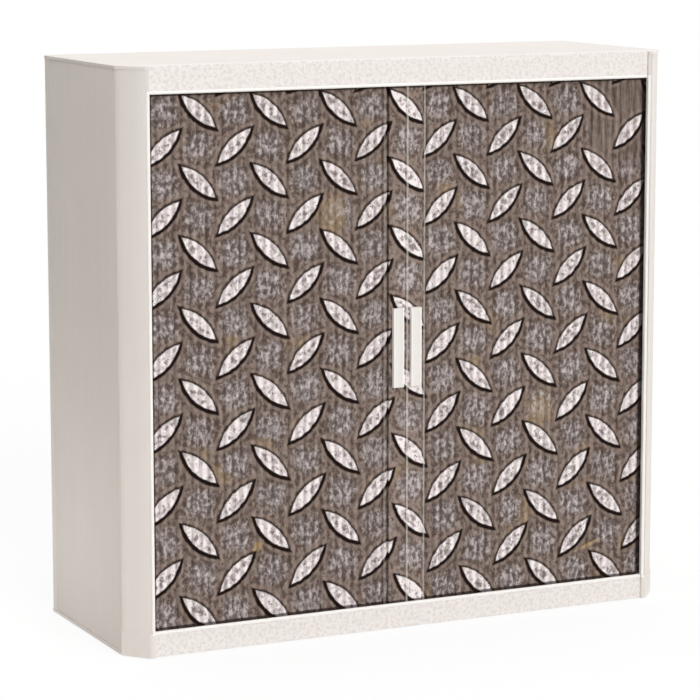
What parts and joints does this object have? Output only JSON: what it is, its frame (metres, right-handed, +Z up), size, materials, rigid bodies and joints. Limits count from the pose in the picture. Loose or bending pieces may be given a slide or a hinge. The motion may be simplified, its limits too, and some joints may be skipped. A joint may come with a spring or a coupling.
{
  "type": "tambour door cabinet",
  "caption": "Free-standing plastic storage cabinet with ribbed tambour doors that part in the middle and run round the front corners into the side walls, over inner shelves.",
  "frame": {"origin": "on the floor, under the middle of the whole object's box", "axes": "+Z up, -Y out of the front, +X to the right of someone who looks at the front"},
  "size_m": [1.1, 0.41, 1.05],
  "materials": {
    "case_plastic": "off-white moulded plastic with a fine grain",
    "tambour_plastic": "ribbed plastic printed with a worn metal tread-plate pattern",
    "handle_plastic": "white, smooth",
    "glide_plastic": "dark, matt"
  },
  "bodies": {
    "case": {"top_panel": "case_plastic", "base_panel": "case_plastic", "side_panel_left": "case_plastic", "side_panel_right": "case_plastic", "back_panel_left": "case_plastic", "back_panel_right": "case_plastic", "front_corner_post_left": "case_plastic", "front_corner_post_right": "case_plastic", "rear_corner_post_left": "case_plastic", "rear_corner_post_right": "case_plastic", "inner_liner_left": "case_plastic", "inner_liner_right": "case_plastic", "shelf_1": "case_plastic", "shelf_2": "case_plastic", "shelf_peg_left_1": "case_plastic", "shelf_peg_left_2": "case_plastic", "shelf_peg_left_3": "case_plastic", "shelf_peg_left_4": "case_plastic", "shelf_peg_right_1": "case_plastic", "shelf_peg_right_2": "case_plastic", "shelf_peg_right_3": "case_plastic", "shelf_peg_right_4": "case_plastic", "foot_front_left": "glide_plastic", "foot_front_right": "glide_plastic", "foot_rear_left": "glide_plastic", "foot_rear_right": "glide_plastic"},
    "left_door": {"lead_stile_left": "tambour_plastic", "handle_left": "handle_plastic"},
    "right_door": {"lead_stile_right": "tambour_plastic", "handle_right": "handle_plastic"},
    "left_curtain_01": {"slat_section_left_01": "tambour_plastic"},
    "left_curtain_02": {"slat_section_left_02": "tambour_plastic"},
    "left_curtain_03": {"slat_section_left_03": "tambour_plastic"},
    "left_curtain_04": {"slat_section_left_04": "tambour_plastic"},
    "left_curtain_05": {"slat_section_left_05": "tambour_plastic"},
    "left_curtain_06": {"slat_section_left_06": "tambour_plastic"},
    "left_curtain_07": {"slat_section_left_07": "tambour_plastic"},
    "left_curtain_08": {"slat_section_left_08": "tambour_plastic"},
    "left_curtain_09": {"slat_section_left_09": "tambour_plastic"},
    "left_curtain_10": {"slat_section_left_10": "tambour_plastic"},
    "left_curtain_11": {"slat_section_left_11": "tambour_plastic"},
    "left_curtain_12": {"slat_section_left_12": "tambour_plastic"},
    "left_curtain_13": {"slat_section_left_13": "tambour_plastic"},
    "left_curtain_14": {"slat_section_left_14": "tambour_plastic"},
    "left_curtain_15": {"slat_section_left_15": "tambour_plastic"},
    "right_curtain_01": {"slat_section_right_01": "tambour_plastic"},
    "right_curtain_02": {"slat_section_right_02": "tambour_plastic"},
    "right_curtain_03": {"slat_section_right_03": "tambour_plastic"},
    "right_curtain_04": {"slat_section_right_04": "tambour_plastic"},
    "right_curtain_05": {"slat_section_right_05": "tambour_plastic"},
    "right_curtain_06": {"slat_section_right_06": "tambour_plastic"},
    "right_curtain_07": {"slat_section_right_07": "tambour_plastic"},
    "right_curtain_08": {"slat_section_right_08": "tambour_plastic"},
    "right_curtain_09": {"slat_section_right_09": "tambour_plastic"},
    "right_curtain_10": {"slat_section_right_10": "tambour_plastic"},
    "right_curtain_11": {"slat_section_right_11": "tambour_plastic"},
    "right_curtain_12": {"slat_section_right_12": "tambour_plastic"},
    "right_curtain_13": {"slat_section_right_13": "tambour_plastic"},
    "right_curtain_14": {"slat_section_right_14": "tambour_plastic"},
    "right_curtain_15": {"slat_section_right_15": "tambour_plastic"}
  },
  "joints": [
    {"name": "left_door_slide", "type": "slide", "parent": "case", "child": "left_door", "axis": [-1, 0, 0], "range_m": [0, 0.458], "deforming": ["slat_section_left_01", "slat_section_left_02", "slat_section_left_03", "slat_section_left_04", "slat_section_left_05", "slat_section_left_06", "slat_section_left_07", "slat_section_left_08", "slat_section_left_09", "slat_section_left_10", "slat_section_left_11", "slat_section_left_12", "slat_section_left_13", "slat_section_left_14", "slat_section_left_15"]},
    {"name": "right_door_slide", "type": "slide", "parent": "case", "child": "right_door", "axis": [1, 0, 0], "range_m": [0, 0.458], "deforming": ["slat_section_right_01", "slat_section_right_02", "slat_section_right_03", "slat_section_right_04", "slat_section_right_05", "slat_section_right_06", "slat_section_right_07", "slat_section_right_08", "slat_section_right_09", "slat_section_right_10", "slat_section_right_11", "slat_section_right_12", "slat_section_right_13", "slat_section_right_14", "slat_section_right_15"]},
    {"name": "left_curtain_01_slide", "type": "slide", "parent": "case", "child": "left_curtain_01", "axis": [-1, 0, 0], "range_m": [0, 0.4369]},
    {"name": "left_curtain_02_slide", "type": "slide", "parent": "case", "child": "left_curtain_02", "axis": [-1, 0, 0], "range_m": [0, 0.4055]},
    {"name": "left_curtain_03_slide", "type": "slide", "parent": "case", "child": "left_curtain_03", "axis": [-1, 0, 0], "range_m": [0, 0.374]},
    {"name": "left_curtain_04_slide", "type": "slide", "parent": "case", "child": "left_curtain_04", "axis": [-1, 0, 0], "range_m": [0, 0.3426]},
    {"name": "left_curtain_05_slide", "type": "slide", "parent": "case", "child": "left_curtain_05", "axis": [-1, 0, 0], "range_m": [0, 0.3111]},
    {"name": "left_curtain_06_slide", "type": "slide", "parent": "case", "child": "left_curtain_06", "axis": [-1, 0, 0], "range_m": [0, 0.2797]},
    {"name": "left_curtain_07_slide", "type": "slide", "parent": "case", "child": "left_curtain_07", "axis": [-1, 0, 0], "range_m": [0, 0.2483]},
    {"name": "left_curtain_08_slide", "type": "slide", "parent": "case", "child": "left_curtain_08", "axis": [-1, 0, 0], "range_m": [0, 0.2168]},
    {"name": "left_curtain_09_slide", "type": "slide", "parent": "case", "child": "left_curtain_09", "axis": [-1, 0, 0], "range_m": [0, 0.1854]},
    {"name": "left_curtain_10_slide", "type": "slide", "parent": "case", "child": "left_curtain_10", "axis": [-1, 0, 0], "range_m": [0, 0.1539]},
    {"name": "left_curtain_11_slide", "type": "slide", "parent": "case", "child": "left_curtain_11", "axis": [-1, 0, 0], "range_m": [0, 0.1225]},
    {"name": "left_curtain_12_slide", "type": "slide", "parent": "case", "child": "left_curtain_12", "axis": [-1, 0, 0], "range_m": [0, 0.0911]},
    {"name": "left_curtain_13_slide", "type": "slide", "parent": "case", "child": "left_curtain_13", "axis": [-1, 0, 0], "range_m": [0, 0.0596]},
    {"name": "left_curtain_14_slide", "type": "slide", "parent": "case", "child": "left_curtain_14", "axis": [-1, 0, 0], "range_m": [0, 0.0282]},
    {"name": "left_curtain_15_slide", "type": "slide", "parent": "case", "child": "left_curtain_15", "axis": [-1, 0, 0], "range_m": [0, 0.0015]},
    {"name": "right_curtain_01_slide", "type": "slide", "parent": "case", "child": "right_curtain_01", "axis": [1, 0, 0], "range_m": [0, 0.4369]},
    {"name": "right_curtain_02_slide", "type": "slide", "parent": "case", "child": "right_curtain_02", "axis": [1, 0, 0], "range_m": [0, 0.4055]},
    {"name": "right_curtain_03_slide", "type": "slide", "parent": "case", "child": "right_curtain_03", "axis": [1, 0, 0], "range_m": [0, 0.374]},
    {"name": "right_curtain_04_slide", "type": "slide", "parent": "case", "child": "right_curtain_04", "axis": [1, 0, 0], "range_m": [0, 0.3426]},
    {"name": "right_curtain_05_slide", "type": "slide", "parent": "case", "child": "right_curtain_05", "axis": [1, 0, 0], "range_m": [0, 0.3111]},
    {"name": "right_curtain_06_slide", "type": "slide", "parent": "case", "child": "right_curtain_06", "axis": [1, 0, 0], "range_m": [0, 0.2797]},
    {"name": "right_curtain_07_slide", "type": "slide", "parent": "case", "child": "right_curtain_07", "axis": [1, 0, 0], "range_m": [0, 0.2483]},
    {"name": "right_curtain_08_slide", "type": "slide", "parent": "case", "child": "right_curtain_08", "axis": [1, 0, 0], "range_m": [0, 0.2168]},
    {"name": "right_curtain_09_slide", "type": "slide", "parent": "case", "child": "right_curtain_09", "axis": [1, 0, 0], "range_m": [0, 0.1854]},
    {"name": "right_curtain_10_slide", "type": "slide", "parent": "case", "child": "right_curtain_10", "axis": [1, 0, 0], "range_m": [0, 0.1539]},
    {"name": "right_curtain_11_slide", "type": "slide", "parent": "case", "child": "right_curtain_11", "axis": [1, 0, 0], "range_m": [0, 0.1225]},
    {"name": "right_curtain_12_slide", "type": "slide", "parent": "case", "child": "right_curtain_12", "axis": [1, 0, 0], "range_m": [0, 0.0911]},
    {"name": "right_curtain_13_slide", "type": "slide", "parent": "case", "child": "right_curtain_13", "axis": [1, 0, 0], "range_m": [0, 0.0596]},
    {"name": "right_curtain_14_slide", "type": "slide", "parent": "case", "child": "right_curtain_14", "axis": [1, 0, 0], "range_m": [0, 0.0282]},
    {"name": "right_curtain_15_slide", "type": "slide", "parent": "case", "child": "right_curtain_15", "axis": [1, 0, 0], "range_m": [0, 0.0015]}
  ],
  "couplings": [
    {"joint": "left_curtain_01_slide", "follows": "left_door_slide", "ratio": 0.95393},
    {"joint": "left_curtain_02_slide", "follows": "left_door_slide", "ratio": 0.88537},
    {"joint": "left_curtain_03_slide", "follows": "left_door_slide", "ratio": 0.81659},
    {"joint": "left_curtain_04_slide", "follows": "left_door_slide", "ratio": 0.74803},
    {"joint": "left_curtain_05_slide", "follows": "left_door_slide", "ratio": 0.67926},
    {"joint": "left_curtain_06_slide", "follows": "left_door_slide", "ratio": 0.6107},
    {"joint": "left_curtain_07_slide", "follows": "left_door_slide", "ratio": 0.54214},
    {"joint": "left_curtain_08_slide", "follows": "left_door_slide", "ratio": 0.47336},
    {"joint": "left_curtain_09_slide", "follows": "left_door_slide", "ratio": 0.4048},
    {"joint": "left_curtain_10_slide", "follows": "left_door_slide", "ratio": 0.33603},
    {"joint": "left_curtain_11_slide", "follows": "left_door_slide", "ratio": 0.26747},
    {"joint": "left_curtain_12_slide", "follows": "left_door_slide", "ratio": 0.19891},
    {"joint": "left_curtain_13_slide", "follows": "left_door_slide", "ratio": 0.13013},
    {"joint": "left_curtain_14_slide", "follows": "left_door_slide", "ratio": 0.061572},
    {"joint": "left_curtain_15_slide", "follows": "left_door_slide", "ratio": 0.003275},
    {"joint": "right_curtain_01_slide", "follows": "right_door_slide", "ratio": 0.95393},
    {"joint": "right_curtain_02_slide", "follows": "right_door_slide", "ratio": 0.88537},
    {"joint": "right_curtain_03_slide", "follows": "right_door_slide", "ratio": 0.81659},
    {"joint": "right_curtain_04_slide", "follows": "right_door_slide", "ratio": 0.74803},
    {"joint": "right_curtain_05_slide", "follows": "right_door_slide", "ratio": 0.67926},
    {"joint": "right_curtain_06_slide", "follows": "right_door_slide", "ratio": 0.6107},
    {"joint": "right_curtain_07_slide", "follows": "right_door_slide", "ratio": 0.54214},
    {"joint": "right_curtain_08_slide", "follows": "right_door_slide", "ratio": 0.47336},
    {"joint": "right_curtain_09_slide", "follows": "right_door_slide", "ratio": 0.4048},
    {"joint": "right_curtain_10_slide", "follows": "right_door_slide", "ratio": 0.33603},
    {"joint": "right_curtain_11_slide", "follows": "right_door_slide", "ratio": 0.26747},
    {"joint": "right_curtain_12_slide", "follows": "right_door_slide", "ratio": 0.19891},
    {"joint": "right_curtain_13_slide", "follows": "right_door_slide", "ratio": 0.13013},
    {"joint": "right_curtain_14_slide", "follows": "right_door_slide", "ratio": 0.061572},
    {"joint": "right_curtain_15_slide", "follows": "right_door_slide", "ratio": 0.003275}
  ]
}
